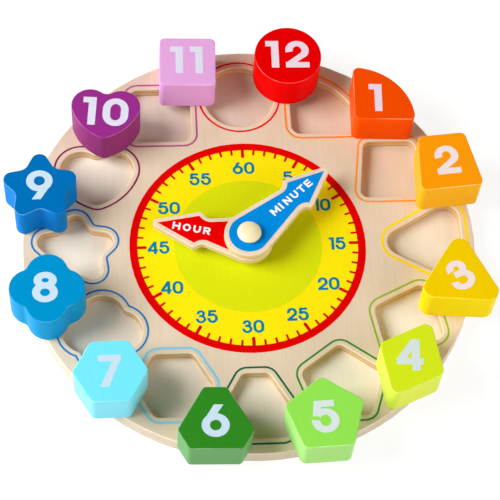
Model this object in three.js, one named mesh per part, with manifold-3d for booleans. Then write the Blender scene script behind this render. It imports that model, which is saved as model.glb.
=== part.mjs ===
// Shape sorting clock: a round plywood board with twelve shaped slots round a dial, twelve numbered
// blocks that match the slots, and two wooden hands that turn on a domed pin.
// Millimetres, +Z up, +Y to twelve o'clock. The origin is where the hands' axis meets the underside.
import * as THREE from 'three';
import { mergeVertices } from 'three/addons/utils/BufferGeometryUtils.js';
import Module from 'manifold-3d';

const wasm = await Module();
wasm.setup();

// Facets: how far a facet may lie inside its arc, and the steps of a rounded edge
const facetSag = 0.05;
const edgeSteps = 2;
const turnedSides = 32;

// Board: a slotted front sheet glued on a plain back sheet, with one rounded rim
const dialRadius = 58;
const frontThickness = 5.5;
const backThickness = 3.5;
const rimRound = 0.4;
const lipRound = 0.6;
const dialToLip = 6.2;
const lipToRim = 4.55;
const slotWeb = 5.7;
const rimShiftX = 1;
const rimShiftY = 1.5;
const cutSpare = 4;

// Blocks: one height and one edge rounding
const blockHeight = 19.7;
const blockEdge = 0.5;

// Blocks: outline sizes in the order of the hours. Play is the room between a block and its slot.
const quarterSide = 30.4;
const quarterCorner = 3;
const quarterPlay = 1.9;
const trapezoidTop = 23.6;
const trapezoidBase = 31.8;
const trapezoidHeight = 30.6;
const trapezoidCorner = 3;
const trapezoidPlay = 0.9;
const triangleReach = 25.2;
const triangleCorner = 5.2;
const trianglePlay = 2.2;
const rhombusSide = 27.7;
const rhombusAngle = 75;
const rhombusCorner = 3.8;
const rhombusPlay = 1.4;
const pentagonReach = 19.5;
const pentagonCorner = 3.2;
const pentagonPlay = 0.9;
const cutTriangleReach = 26.8;
const cutTriangleTip = 11;
const cutTriangleCorner = 2.4;
const cutTrianglePlay = 1.4;
const hexagonReach = 17.7;
const hexagonCorner = 3.2;
const hexagonPlay = 1;
const flowerLobe = 9.9;
const flowerSpread = 8.1;
const flowerNotch = 4;
const flowerPlay = 1;
const starTip = 4.2;
const starReach = 18.3;
const starNotch = 5.2;
const starWaist = 12.6;
const starPlay = 0.8;
const heartLobe = 9.4;
const heartSpread = 7.7;
const heartSide = 26;
const heartTip = 3;
const heartDrop = 15.8;
const heartNotch = 5;
const heartPlay = 1.3;
const squareSide = 28.2;
const squareCorner = 2.8;
const squarePlay = 1.3;
const roundRadius = 16.9;
const roundPlay = 1;

// Hands: flat arrows with a round hub
const handThickness = 3.9;
const handEdge = 0.4;
const hubRadius = 12;
const handTipRound = 2.2;
const minuteHeadLength = 18.1;
const hourHeadLength = 19.4;
const headHalfWidth = 7.6;
const neckRound = 4.4;
const neckHalfWidth = 7.4;
const neckSetback = 5.1;
const minuteShort = 4;
const hourReach = 47.3;
const hourClockAngle = 282.7;
const minuteClockAngle = 48.75;

// Pin: a domed head on a round shank, which is pressed into a cup nut from behind
const shankRadius = 2.8;
const shankLead = 0.5;
const headRadius = 5.85;
const headLip = 0.95;
const headBulge = 1.2;
const headDome = 2.7;
const runningGap = 0.35;
const turnGap = 0.2;
const gripGap = 0.1;
const nutRadius = 7;
const nutFloor = 1;
const nutEdge = 0.5;
const spacerRadius = 7.5;
const spacerHeight = 3.3;
const washerRadius = 6.5;
const washerHeight = 0.4;
const washerEdge = 0.1;
const spacerEdge = 0.4;

// Levels, from the underside up
const boardTop = backThickness + frontThickness;
const hourBase = boardTop + spacerHeight + turnGap;
const washerBase = hourBase + handThickness + turnGap;
const minuteBase = washerBase + washerHeight + turnGap;
const pinHeadBase = minuteBase + handThickness + turnGap;
const pinEnd = nutFloor + gripGap;

const turn = Math.PI * 2;
const degrees = THREE.MathUtils.degToRad;
const point = (x, y) => new THREE.Vector2(x, y);
const polar = (radius, angle) => point(radius * Math.cos(angle), radius * Math.sin(angle));
const disc = (centre, radius) => ({ centre, radius });

// Steps that keep a facet within the sag of an arc
function arcSteps(radius, sweep) {
  const step = 2 * Math.acos(1 - Math.min(facetSag / Math.abs(radius), 1));
  return Math.max(1, Math.ceil(Math.abs(sweep) / step));
}

// An outline is a belt pulled anticlockwise round a list of discs. A positive radius is a rounded
// corner and a negative one a rounded notch. A margin added to every radius offsets the belt, so a
// block, its slot and the slot's lip all come from one list.
function belt(discs, margin) {
  const loops = discs.map(({ centre, radius }) => disc(centre, radius + margin));
  if (loops.length === 1) {
    const sides = arcSteps(loops[0].radius, turn);
    return Array.from({ length: sides }, (_, i) =>
      polar(loops[0].radius, turn * i / sides).add(loops[0].centre));
  }
  const headings = loops.map((here, i) => {
    const next = loops[(i + 1) % loops.length];
    const span = next.centre.clone().sub(here.centre);
    const lean = THREE.MathUtils.clamp((here.radius - next.radius) / span.length(), -1, 1);
    return Math.atan2(span.y, span.x) + Math.asin(lean);
  });
  const points = [];
  loops.forEach(({ centre, radius }, i) => {
    const start = headings.at(i - 1);
    let sweep = THREE.MathUtils.euclideanModulo(headings[i] - start, turn);
    if (radius < 0) sweep -= turn;
    const steps = arcSteps(radius, sweep);
    for (let step = 0; step <= steps; step += 1) {
      const heading = start + sweep * step / steps;
      const onBelt = polar(radius, heading - turn / 4).add(centre);
      const last = points.at(-1);
      if (!last || last.distanceTo(onBelt) > facetSag) points.push(onBelt);
    }
  });
  if (points[0].distanceTo(points.at(-1)) < facetSag) points.pop();
  return points;
}

// Discs set into the corners of a polygon
function corners(polygon, radius) {
  return polygon.map((corner, i) => {
    const back = polygon.at(i - 1).clone().sub(corner).normalize();
    const ahead = polygon[(i + 1) % polygon.length].clone().sub(corner).normalize();
    const half = Math.acos(back.dot(ahead)) / 2;
    const inward = back.add(ahead).setLength(radius / Math.sin(half));
    return disc(inward.add(corner), radius);
  });
}

function regular(sides, reach, start) {
  return Array.from({ length: sides }, (_, i) => polar(reach, start + turn * i / sides));
}

function quarterDiscs() {
  const heel = point(-quarterSide / 2, -quarterSide / 2);
  const inset = Math.sqrt((quarterSide - quarterCorner) ** 2 - quarterCorner ** 2);
  return [
    disc(heel.clone().addScalar(quarterCorner), quarterCorner),
    disc(point(inset, quarterCorner).add(heel), quarterCorner),
    disc(heel, quarterSide),
    disc(point(quarterCorner, inset).add(heel), quarterCorner),
  ];
}

function trapezoidDiscs() {
  return corners([
    point(-trapezoidBase / 2, -trapezoidHeight / 2),
    point(trapezoidBase / 2, -trapezoidHeight / 2),
    point(trapezoidTop / 2, trapezoidHeight / 2),
    point(-trapezoidTop / 2, trapezoidHeight / 2),
  ], trapezoidCorner);
}

function rhombusDiscs() {
  const half = degrees(rhombusAngle) / 2;
  const across = rhombusSide * Math.sin(half);
  const along = rhombusSide * Math.cos(half);
  return corners([point(across, 0), point(0, along), point(-across, 0), point(0, -along)], rhombusCorner);
}

// A triangle whose three tips are cut off square
function cutTriangleDiscs() {
  const tips = regular(3, cutTriangleReach, turn / 4);
  const cut = tips.flatMap((tip, i) => [tips.at(i - 1), tips[(i + 1) % tips.length]].map((other) =>
    other.clone().sub(tip).setLength(cutTriangleTip).add(tip)));
  return corners(cut, cutTriangleCorner);
}

// Lobes and rounded notches by turns, round a centre
function petals(count, lobe, lobeAt, notch, notchAt, start) {
  return Array.from({ length: count }, (_, i) => {
    const angle = start + turn * i / count;
    return [disc(polar(lobeAt, angle), lobe), disc(polar(notchAt, angle + turn / count / 2), -notch)];
  }).flat();
}

// Each notch disc of the flower rests against the two lobes beside it
function flowerDiscs() {
  const side = flowerSpread * Math.SQRT1_2;
  const notchAt = side + Math.sqrt((flowerLobe + flowerNotch) ** 2 - side ** 2);
  return petals(4, flowerLobe, flowerSpread, flowerNotch, notchAt, 0);
}

function starDiscs() {
  return petals(5, starTip, starReach - starTip, starNotch, starWaist + starNotch, turn / 4);
}

// Two lobes, a long arc down each side to a rounded tip, and a rounded notch between the lobes
function heartDiscs() {
  const tip = point(0, -heartDrop);
  const lobeArm = heartSide - heartLobe;
  const tipArm = heartSide - heartTip;
  const sideDisc = (hand) => {
    const lobe = point(hand * heartSpread, 0);
    const span = tip.clone().sub(lobe);
    const reach = span.length();
    const along = (lobeArm ** 2 - tipArm ** 2 + reach ** 2) / (2 * reach);
    const across = Math.sqrt(lobeArm ** 2 - along ** 2);
    const run = span.normalize();
    const normal = point(-run.y, run.x).multiplyScalar(-hand * across);
    return disc(run.multiplyScalar(along).add(normal).add(lobe), heartSide);
  };
  const notchUp = Math.sqrt((heartLobe + heartNotch) ** 2 - heartSpread ** 2);
  return [
    disc(tip, heartTip),
    sideDisc(1),
    disc(point(heartSpread, 0), heartLobe),
    disc(point(0, notchUp), -heartNotch),
    disc(point(-heartSpread, 0), heartLobe),
    sideDisc(-1),
  ];
}

function squareDiscs() {
  return corners(regular(4, squareSide * Math.SQRT1_2, turn / 8), squareCorner);
}

// The hours: outline, play, slot place in shares of the slot circle with its turn, resting place in
// shares of the board's radius with its turn, and the paint. Turns are in degrees, anticlockwise.
const hours = [
  { name: 'block_01_quarter', discs: quarterDiscs(), play: quarterPlay, paint: 0xf35000,
    slotShares: [0.4995, 0.9358], slotTurn: 0, restShares: [0.6432, 0.6667], restTurn: -2.5 },
  { name: 'block_02_trapezoid', discs: trapezoidDiscs(), play: trapezoidPlay, paint: 0xff960c,
    slotShares: [0.8664, 0.4855], slotTurn: 0, restShares: [0.8936, 0.3075], restTurn: 5.1 },
  { name: 'block_03_triangle', discs: corners(regular(3, triangleReach, turn / 4), triangleCorner),
    play: trianglePlay, paint: 0xf3cd00,
    slotShares: [1.0592, 0], slotTurn: 90, restShares: [0.8939, -0.263], restTurn: -4.6 },
  { name: 'block_04_rhombus', discs: rhombusDiscs(), play: rhombusPlay, paint: 0xd0eb1e,
    slotShares: [0.878, -0.5041], slotTurn: -27, restShares: [0.6462, -0.648], restTurn: -29.2 },
  { name: 'block_05_pentagon', discs: corners(regular(5, pentagonReach, turn / 4), pentagonCorner),
    play: pentagonPlay, paint: 0x91e855,
    slotShares: [0.4774, -0.8688], slotTurn: 0, restShares: [0.2651, -0.891], restTurn: 2.4 },
  { name: 'block_06_cut_triangle', discs: cutTriangleDiscs(), play: cutTrianglePlay, paint: 0x328a23,
    slotShares: [0, -1.0105], slotTurn: 0, restShares: [-0.19, -0.9065], restTurn: -1.5 },
  { name: 'block_07_hexagon', discs: corners(regular(6, hexagonReach, 0), hexagonCorner),
    play: hexagonPlay, paint: 0x75eeff,
    slotShares: [-0.4506, -0.8537], slotTurn: 0, restShares: [-0.6167, -0.6664], restTurn: 0.8 },
  { name: 'block_08_flower', discs: flowerDiscs(), play: flowerPlay, paint: 0x0094da,
    slotShares: [-0.8351, -0.5145], slotTurn: 0, restShares: [-0.8759, -0.2734], restTurn: -1.2 },
  { name: 'block_09_star', discs: starDiscs(), play: starPlay, paint: 0x0070be,
    slotShares: [-0.9803, 0.0023], slotTurn: 0, restShares: [-0.9046, 0.2219], restTurn: 0.6 },
  { name: 'block_10_heart', discs: heartDiscs(), play: heartPlay, paint: 0x98248a,
    slotShares: [-0.849, 0.5203], slotTurn: 0, restShares: [-0.6108, 0.6272], restTurn: -5.2 },
  { name: 'block_11_square', discs: squareDiscs(), play: squarePlay, paint: 0xe0a4e0,
    slotShares: [-0.4704, 0.8792], slotTurn: 0, restShares: [-0.2373, 0.8552], restTurn: -1.6 },
  { name: 'block_12_round', discs: [disc(point(0, 0), roundRadius)], play: roundPlay, paint: 0xe20000,
    slotShares: [0, 0.9977], slotTurn: 0, restShares: [0.2214, 0.8797], restTurn: 0.9 },
];

// How far along a direction given in shares a point must go to come out of a circle round the start
function clearance(share, offset, radius) {
  const along = share.dot(offset);
  const spare = along ** 2 - share.lengthSq() * (offset.lengthSq() - radius ** 2);
  return spare < 0 ? 0 : (Math.sqrt(spare) - along) / share.lengthSq();
}

// The slots' outlines about their own centres. The circle that they stand on grows until each slot is
// clear of the dial and of the next slot, and the rim until it is clear of the outermost slot.
const slots = hours.map(({ discs, play, slotShares, slotTurn }) => ({
  share: point(...slotShares),
  outline: belt(discs, play).map((p) => p.rotateAround(point(0, 0), degrees(slotTurn))),
}));
const slotCircle = Math.max(...slots.flatMap(({ share, outline }, i) => {
  const next = slots[(i + 1) % slots.length];
  const apart = share.clone().sub(next.share);
  return outline.flatMap((p) => [
    clearance(share, p, dialRadius + dialToLip + lipRound),
    ...next.outline.map((q) => clearance(apart, p.clone().sub(q), slotWeb + 2 * lipRound)),
  ]);
}));
const rimCentre = point(rimShiftX, rimShiftY);
const openings = slots.map(({ share, outline }) =>
  outline.map((p) => share.clone().multiplyScalar(slotCircle).add(p)));
const boardRadius = Math.max(...openings.flat().map((p) => p.distanceTo(rimCentre))) + lipRound + lipToRim;

// A plate with rounded edges, from its base up, with openings through it
function plate(outline, holes, height, edge) {
  const shape = new THREE.Shape(outline);
  shape.holes = holes.map((hole) => new THREE.Path(hole));
  const geometry = new THREE.ExtrudeGeometry(shape, {
    depth: height - 2 * edge,
    steps: 1,
    curveSegments: 1,
    bevelEnabled: true,
    bevelThickness: edge,
    bevelSize: edge,
    bevelOffset: -edge,
    bevelSegments: edgeSteps,
  });
  return geometry.translate(0, 0, edge);
}

// A turned piece from its profile of [radius, height] pairs
function turned(profile) {
  return new THREE.LatheGeometry(profile.map(([radius, height]) => point(radius, height)), turnedSides)
    .rotateX(turn / 4);
}

function toSolid(geometry) {
  const bare = geometry.clone();
  bare.deleteAttribute('normal');
  bare.deleteAttribute('uv');
  const merged = mergeVertices(bare);
  return new wasm.Manifold(new wasm.Mesh({
    numProp: 3,
    vertProperties: new Float32Array(merged.attributes.position.array),
    triVerts: new Uint32Array(merged.index.array),
  }));
}

function toGeometry(solid) {
  const mesh = solid.getMesh();
  const geometry = new THREE.BufferGeometry();
  geometry.setAttribute('position', new THREE.BufferAttribute(mesh.vertProperties, 3));
  geometry.setIndex(new THREE.BufferAttribute(mesh.triVerts, 1));
  return geometry;
}

// A round cutter on the hands' axis, with its ends past both faces of what it cuts
function drill(radius, base, top) {
  const height = top - base + 2 * cutSpare;
  return toSolid(new THREE.CylinderGeometry(radius, radius, height, turnedSides)
    .rotateX(turn / 4)
    .translate(0, 0, (base + top) / 2));
}

// A block wide enough to saw off everything beyond one face of the board
function saw(base, height) {
  const width = 2 * (boardRadius + cutSpare) + Math.abs(rimShiftX) + Math.abs(rimShiftY);
  return toSolid(new THREE.BoxGeometry(width, width, height).translate(0, 0, base + height / 2));
}

function rimOutline() {
  return belt([disc(rimCentre, boardRadius)], 0);
}

// The front sheet: rim and slot lips are rounded on its face, and its back is sawn flat for the glue
function frontBoard() {
  const height = frontThickness + cutSpare;
  const blank = toSolid(plate(rimOutline(), openings, height, lipRound).translate(0, 0, boardTop - height));
  return toGeometry(blank
    .intersect(saw(backThickness, height))
    .subtract(drill(shankRadius + runningGap, backThickness, boardTop)));
}

// The back sheet: rounded on its underside, with a round hole that takes the nut
function backBoard() {
  const height = backThickness + cutSpare;
  const blank = toSolid(plate(rimOutline(), [], height, rimRound));
  return toGeometry(blank
    .intersect(saw(backThickness - height, height))
    .subtract(drill(nutRadius + runningGap, 0, backThickness)));
}

// An arrow along +X: a hub, a narrowing shaft, a notch at each side and a barbed head
function handGeometry(reach, headLength) {
  const tip = reach - handTipRound;
  const barb = tip - headLength;
  const notch = (side) => disc(point(barb - neckSetback, side * (neckHalfWidth + neckRound)), -neckRound);
  const barbCorner = (side) => disc(point(barb, side * headHalfWidth), handTipRound);
  const outline = belt([
    disc(point(0, 0), hubRadius),
    notch(-1),
    barbCorner(-1),
    disc(point(tip, 0), handTipRound),
    barbCorner(1),
    notch(1),
  ], 0);
  const blank = toSolid(plate(outline, [], handThickness, handEdge));
  return toGeometry(blank.subtract(drill(shankRadius + runningGap, 0, handThickness)));
}

// A flat ring with its outer edges broken
function ringGeometry(radius, height, edge) {
  const bore = shankRadius + runningGap;
  return turned([
    [bore, 0],
    [radius - edge, 0],
    [radius, edge],
    [radius, height - edge],
    [radius - edge, height],
    [bore, height],
    [bore, 0],
  ]);
}

// Quarter of an ellipse between two profile points, bulging outwards
function bulge(fromRadius, toRadius, fromHeight, toHeight, rising) {
  const steps = arcSteps(Math.max(fromRadius, toRadius), turn / 4);
  return Array.from({ length: steps }, (_, i) => {
    const angle = turn / 4 * (i + 1) / steps;
    const out = rising ? Math.sin(angle) : 1 - Math.cos(angle);
    const up = rising ? 1 - Math.cos(angle) : Math.sin(angle);
    return [fromRadius + (toRadius - fromRadius) * out, fromHeight + (toHeight - fromHeight) * up];
  });
}

// The pin: a shank with a tapered end, and a head like a flattened ball
function pinGeometry() {
  const widest = pinHeadBase + headBulge;
  const headFoot = headRadius - headLip;
  return turned([
    [0, pinEnd],
    [shankRadius - shankLead, pinEnd],
    [shankRadius, pinEnd + shankLead],
    [shankRadius, pinHeadBase],
    [headFoot, pinHeadBase],
    ...bulge(headFoot, headRadius, pinHeadBase, widest, true),
    ...bulge(headRadius, 0, widest, widest + headDome, false),
  ]);
}

// The nut: a round cup that takes the shank's end, flush with the underside
function nutGeometry() {
  const bore = shankRadius + gripGap;
  return turned([
    [0, 0],
    [nutRadius - nutEdge, 0],
    [nutRadius, nutEdge],
    [nutRadius, backThickness],
    [bore, backThickness],
    [bore, nutFloor],
    [0, nutFloor],
  ]);
}

const paints = { ply: 0xe8d4bc, backPly: 0xebe1c8, hour: 0xe80000, minute: 0x008ce1, cream: 0xfaeebe };
const finish = (colour, roughness) => new THREE.MeshStandardMaterial({ color: colour, roughness, metalness: 0 });

function addPiece(group, name, geometry, material) {
  const mesh = new THREE.Mesh(geometry, material);
  mesh.name = name;
  group.add(mesh);
  return mesh;
}

const clock = new THREE.Group();
addPiece(clock, 'back_board', backBoard(), finish(paints.backPly, 0.6));
addPiece(clock, 'front_board', frontBoard(), finish(paints.ply, 0.55));
addPiece(clock, 'pin_nut', nutGeometry(), finish(paints.cream, 0.4));
addPiece(clock, 'centre_pin', pinGeometry(), finish(paints.cream, 0.3));
addPiece(clock, 'dial_spacer', ringGeometry(spacerRadius, spacerHeight, spacerEdge), finish(paints.ply, 0.6))
  .position.set(0, 0, boardTop);
addPiece(clock, 'hand_washer', ringGeometry(washerRadius, washerHeight, washerEdge), finish(paints.cream, 0.4))
  .position.set(0, 0, washerBase);

const hands = [
  { name: 'hour_hand', reach: hourReach, headLength: hourHeadLength, base: hourBase,
    clockAngle: hourClockAngle, paint: paints.hour },
  { name: 'minute_hand', reach: dialRadius - minuteShort, headLength: minuteHeadLength, base: minuteBase,
    clockAngle: minuteClockAngle, paint: paints.minute },
];
for (const { name, reach, headLength, base, clockAngle, paint } of hands) {
  const hand = addPiece(clock, name, handGeometry(reach, headLength), finish(paint, 0.35));
  hand.position.set(0, 0, base);
  hand.rotation.z = turn / 4 - degrees(clockAngle);
}

// Each block lies loose on the board's face, beside its slot
for (const { name, discs, restShares, restTurn, paint } of hours) {
  const geometry = plate(belt(discs, 0), [], blockHeight, blockEdge);
  const block = addPiece(clock, name, geometry, finish(paint, 0.35));
  block.position.set(restShares[0] * boardRadius, restShares[1] * boardRadius, boardTop);
  block.rotation.z = degrees(restTurn);
}

export default clock;
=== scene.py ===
import math

import bpy
from mathutils import Matrix, Vector
from mathutils.geometry import delaunay_2d_cdt

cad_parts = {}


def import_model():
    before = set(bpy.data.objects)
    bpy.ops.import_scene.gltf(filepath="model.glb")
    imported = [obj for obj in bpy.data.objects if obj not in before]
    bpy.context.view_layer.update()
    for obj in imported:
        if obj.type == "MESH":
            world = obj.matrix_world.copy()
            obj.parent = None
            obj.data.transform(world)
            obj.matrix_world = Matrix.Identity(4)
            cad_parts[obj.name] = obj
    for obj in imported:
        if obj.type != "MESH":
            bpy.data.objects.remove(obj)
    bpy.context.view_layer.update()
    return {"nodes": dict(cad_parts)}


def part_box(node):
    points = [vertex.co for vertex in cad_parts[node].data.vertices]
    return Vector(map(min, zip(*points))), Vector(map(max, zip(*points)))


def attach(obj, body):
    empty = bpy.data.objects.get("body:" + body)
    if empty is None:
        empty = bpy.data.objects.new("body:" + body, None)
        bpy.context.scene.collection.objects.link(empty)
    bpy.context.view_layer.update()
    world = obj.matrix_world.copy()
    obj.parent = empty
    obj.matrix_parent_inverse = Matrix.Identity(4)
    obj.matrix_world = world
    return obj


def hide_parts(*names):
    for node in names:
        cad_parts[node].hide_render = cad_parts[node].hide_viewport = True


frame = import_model()

# Sizes are in millimetres, and meshes are made in metres
MM = 0.001
TURN = 2 * math.pi

# Made surfaces: degrees in a facet of an arc, steps of a rounded edge, sides of a turned piece, the
# angle above which an edge stays sharp, and the least radius of a disc or a ring of points
ARC_FACET = 5
EDGE_STEPS = 5
TURNED_SIDES = 72
SHARP_ABOVE = 40
LEAST_ROUND = 0.02

# Triangulation: keep what lies inside the loops, and merge points nearer to each other than this
INSIDE_ONLY = 1
INK_MERGE = 1e-5
SHEET_MERGE = 1e-6

# Board
FACE_ROUND = 0.6
UNDERSIDE_ROUND = 0.4
SLOT_CIRCLE = 86.024
RIM_CENTRE = (1.0, 1.5)
PLY = 1.35

# Printed ink: the thickness of a layer and of its feathered edge
INK = 0.05
INK_EDGE = 0.01

# Dial print. A tick is its length and width, and its foot is sunk under the ring.
DIAL_RADIUS = 58.0
RING_WIDTH = 3.85
CORE_RADIUS = 36.4
MINOR_TICK = (2.9, 1.1)
MAJOR_TICK = (4.6, 1.6)
TICK_SINK = 0.6
NUMBER_RADIUS = 43.9
NUMBER_SHIFT = (0.08, -0.2)
NUMBER_CAP = 6.9
NUMBER_STEM = 1.45
NUMBER_GAP = 0.55
NUMBER_NARROW = 0.96

# Printed lines round the slots
LINE_OFFSET = 2.7
LINE_WIDTH = 0.95
BROAD_LINE_WIDTH = 1.3
BROAD_LINE_HOURS = (3, 7)

# Blocks
BLOCK_EDGE = 0.5
DIGIT_CAP = 16.0
DIGIT_STEM = 3.75
DIGIT_GAP = 3.4

# Hands. A head's length is from its tip to its barbs, and a word's gaps are between its letters.
HAND_EDGE = 0.4
HUB_RADIUS = 12.0
TIP_ROUND = 2.2
PRINT_INSET = 2.2
HEAD_HALF_WIDTH = 7.6
NECK_ROUND = 4.4
NECK_HALF_WIDTH = 7.4
NECK_SETBACK = 5.1
MINUTE_REACH = 54.0
MINUTE_HEAD = 18.1
MINUTE_TURN = 41.25
MINUTE_WORD_AT = (29.3, 0.4)
MINUTE_GAPS = (1.2, 1.9, 1.4, 1.05, 1.1)
HOUR_REACH = 47.3
HOUR_HEAD = 19.4
HOUR_TURN = 167.3
HOUR_WORD_AT = (28.2, 0)
HOUR_GAPS = (1.2, 1.2, 1.3)
WORD_CAP = 3.95
WORD_STEM = 0.98
HAND_PLY = 1.1

# Pin, rings and nut
SHANK_RADIUS = 2.8
SHANK_LEAD = 0.5
RUNNING_GAP = 0.35
HEAD_GAP = 0.2
HEAD_LIP = 0.95
HEAD_BULGE = 1.2
SPACER_EDGE = 0.4
WASHER_EDGE = 0.1

# Camera: where the photograph was taken from, with its slight roll
CAMERA_AIM = (0.846, -2.659)
CAMERA_AZIMUTH = 8.673
CAMERA_ELEVATION = 62.0015
CAMERA_DISTANCE = 927.14
CAMERA_ROLL = 6.267
FOCAL_PIXELS = 1894.62
IMAGE_PIXELS = 500
SENSOR = 36.0
CLIP_NEAR = 10
CLIP_FAR = 20000

# Lamps: name, azimuth from +Y, elevation, distance, width, share of a level face's light, colour
LAMPS = [
    ("Key", -90, 39, 1400, 900, 0.77, (0.985, 1.0, 1.01)),
    ("Right", 115, 28, 1300, 900, 0.20, (1.0, 0.98, 0.95)),
    ("Front", 180, 24, 1300, 900, 0.065, (1.0, 1.0, 1.0)),
    ("Back", -120, 28, 1300, 900, 0.06, (1.0, 0.98, 0.95)),
]

# World: warm and bright near the horizon, dark overhead, by the height of a direction
WORLD_BRIGHT_BELOW = 0.1
WORLD_DARK_ABOVE = 0.5
WORLD_BRIGHT = (0.85, 0.72, 0.58)
WORLD_DARK = (0.05, 0.035, 0.025)

# Floor: its middle to a corner, its drop below the board, its grey for bounced light, and the grey,
# the glow and the roughness that are seen
FLOOR_REACH = 3000.0
FLOOR_DROP = 0.01
FLOOR_BOUNCE = 0.86
FLOOR_SEEN = 0.24
FLOOR_GLOW = 0.83
FLOOR_ROUGHNESS = 0.9


# Outlines. A belt runs anticlockwise round a list of (x, y, radius) discs: a positive radius is a
# rounded corner, a negative one a rounded notch, and a margin added to every radius offsets it.
def belt(discs, margin=0.0):
    if len(discs) == 1:
        x, y, radius = discs[0]
        count = round(360 / ARC_FACET)
        return [(x + px, y + py) for px, py in regular(count, radius + margin, 0)]
    headings = []
    for i, (x, y, radius) in enumerate(discs):
        next_x, next_y, next_radius = discs[(i + 1) % len(discs)]
        lean = (radius - next_radius) / math.hypot(next_x - x, next_y - y)
        headings.append(math.atan2(next_y - y, next_x - x) + math.asin(max(-1, min(1, lean))))
    points = []
    for i, (x, y, radius) in enumerate(discs):
        sweep = (headings[i] - headings[i - 1]) % TURN
        if radius < 0:
            sweep -= TURN
        steps = math.ceil(abs(math.degrees(sweep)) / ARC_FACET)
        if steps == 360 // ARC_FACET:
            # Rounding made a whole turn of a belt that goes straight on
            sweep, steps = 0, 1
        for k in range(steps + 1):
            heading = headings[i - 1] + sweep * k / steps
            reach = radius + margin
            points.append((x + reach * math.sin(heading), y - reach * math.cos(heading)))
    return points


def corners(polygon, radius):
    """Discs set into the corners of a polygon."""
    discs = []
    for i, corner in enumerate(polygon):
        here = Vector(corner)
        back = (Vector(polygon[i - 1]) - here).normalized()
        ahead = (Vector(polygon[(i + 1) % len(polygon)]) - here).normalized()
        half = math.acos(back.dot(ahead)) / 2
        centre = here + (back + ahead).normalized() * radius / math.sin(half)
        discs.append((centre.x, centre.y, radius))
    return discs


def polar(radius, degrees):
    return (radius * math.cos(math.radians(degrees)), radius * math.sin(math.radians(degrees)))


def regular(sides, reach, start):
    return [polar(reach, start + 360 * i / sides) for i in range(sides)]


def petals(count, lobe, lobe_at, notch, notch_at, start):
    """Lobes and rounded notches by turns, round a centre."""
    discs = []
    for i in range(count):
        angle = start + 360 * i / count
        discs.append((*polar(lobe_at, angle), lobe))
        discs.append((*polar(notch_at, angle + 180 / count), -notch))
    return discs


def quarter(side, corner):
    heel = -side / 2
    inset = math.sqrt((side - corner) ** 2 - corner ** 2)
    return [(heel + corner, heel + corner, corner), (heel + inset, heel + corner, corner),
            (heel, heel, side), (heel + corner, heel + inset, corner)]


def trapezoid(top, base, height, corner):
    return corners([(-base / 2, -height / 2), (base / 2, -height / 2),
                    (top / 2, height / 2), (-top / 2, height / 2)], corner)


def rhombus(side, degrees, corner):
    half = math.radians(degrees) / 2
    across, along = side * math.sin(half), side * math.cos(half)
    return corners([(across, 0), (0, along), (-across, 0), (0, -along)], corner)


def cut_triangle(reach, tip, corner):
    """A triangle whose three tips are cut off square."""
    tips = [Vector(p) for p in regular(3, reach, 90)]
    cut = []
    for i, here in enumerate(tips):
        for other in (tips[i - 1], tips[(i + 1) % 3]):
            cut.append(here + (other - here).normalized() * tip)
    return corners(cut, corner)


def flower(lobe, spread, notch):
    """Four lobes, with each notch disc resting against the two lobes beside it."""
    side = spread * math.sqrt(0.5)
    notch_at = side + math.sqrt((lobe + notch) ** 2 - side ** 2)
    return petals(4, lobe, spread, notch, notch_at, 0)


def star(tip, reach, notch, waist):
    return petals(5, tip, reach - tip, notch, waist + notch, 90)


def heart(lobe, spread, side, tip, drop, notch):
    """Two lobes, a long arc down each side to a rounded tip, and a rounded notch between the lobes."""
    def side_disc(hand):
        lobe_at = Vector((hand * spread, 0))
        span = Vector((0, -drop)) - lobe_at
        lobe_arm, tip_arm = side - lobe, side - tip
        along = (lobe_arm ** 2 - tip_arm ** 2 + span.length_squared) / (2 * span.length)
        across = math.sqrt(lobe_arm ** 2 - along ** 2)
        run = span.normalized()
        centre = lobe_at + run * along + Vector((-run.y, run.x)) * -hand * across
        return (centre.x, centre.y, side)
    notch_up = math.sqrt((lobe + notch) ** 2 - spread ** 2)
    return [(0, -drop, tip), side_disc(1), (spread, 0, lobe), (0, notch_up, -notch),
            (-spread, 0, lobe), side_disc(-1)]


def rounded(sides, reach, start, corner):
    """A regular polygon with rounded corners."""
    return corners(regular(sides, reach, start), corner)


def square(side, corner):
    return rounded(4, side * math.sqrt(0.5), 45, corner)


def placed(points, x, y, degrees):
    c, s = polar(1, degrees)
    return [(x + px * c - py * s, y + px * s + py * c) for px, py in points]


class Hour:
    """A block's outline, its slot's play, place in shares of the slot circle and turn, the block's
    own turn, and its digits' place from its centre and their turn, if it isn't the block's."""

    def __init__(self, hour, shape, discs, play, slot_at, turn, digit_at, digit_turn=None, slot_turn=0):
        self.hour = hour
        self.discs = discs
        self.play = play
        self.slot_place = (slot_at[0] * SLOT_CIRCLE, slot_at[1] * SLOT_CIRCLE, slot_turn)
        self.turn = turn
        self.digit_turn = turn if digit_turn is None else digit_turn
        self.digit_at = digit_at
        self.body = f"block_{hour:02d}"
        self.node = f"{self.body}_{shape}"
        self.slot = f"paint_{hour:02d}"


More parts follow.
